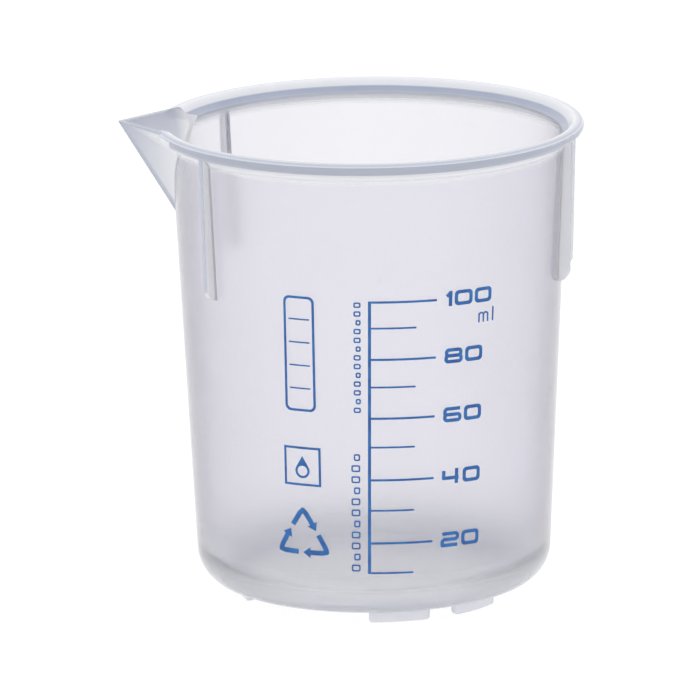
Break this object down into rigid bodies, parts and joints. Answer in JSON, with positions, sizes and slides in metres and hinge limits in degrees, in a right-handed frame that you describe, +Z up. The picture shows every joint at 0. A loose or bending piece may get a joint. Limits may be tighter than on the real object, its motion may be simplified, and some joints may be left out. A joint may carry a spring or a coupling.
{
  "type": "laboratory beaker",
  "caption": "Translucent moulded plastic beaker with a pouring spout, flared rim, stacking ribs, raised feet and a printed volume scale.",
  "frame": {"origin": "on the beaker's axis, in the plane that the feet rest on", "axes": "+Z up along the axis, -X towards the pouring spout, -Y towards the printed scale"},
  "size_m": [0.069, 0.0634, 0.0716],
  "materials": {
    "polypropylene": "natural translucent polypropylene, milky, semi-gloss moulded surface",
    "blue_ink": "thin opaque blue screen-printing ink, slightly uneven"
  },
  "bodies": {
    "root": {"body_wall": "polypropylene", "base": "polypropylene", "rim_lip": "polypropylene", "pouring_spout": "polypropylene", "rib_front_left": "polypropylene", "rib_rear_left": "polypropylene", "rib_front_right": "polypropylene", "rib_rear_right": "polypropylene", "foot_front": "polypropylene", "foot_front_right": "polypropylene", "foot_rear_right": "polypropylene", "foot_rear": "polypropylene", "foot_left": "polypropylene", "scale_line": "blue_ink", "long_ticks": "blue_ink", "short_ticks": "blue_ink", "numeral_100": "blue_ink", "numeral_80": "blue_ink", "numeral_60": "blue_ink", "numeral_40": "blue_ink", "numeral_20": "blue_ink", "unit_sign": "blue_ink", "label_frame": "blue_ink", "small_print_upper": "blue_ink", "small_print_lower": "blue_ink", "pictogram": "blue_ink", "recycling_triangle": "blue_ink"}
  },
  "joints": []
}
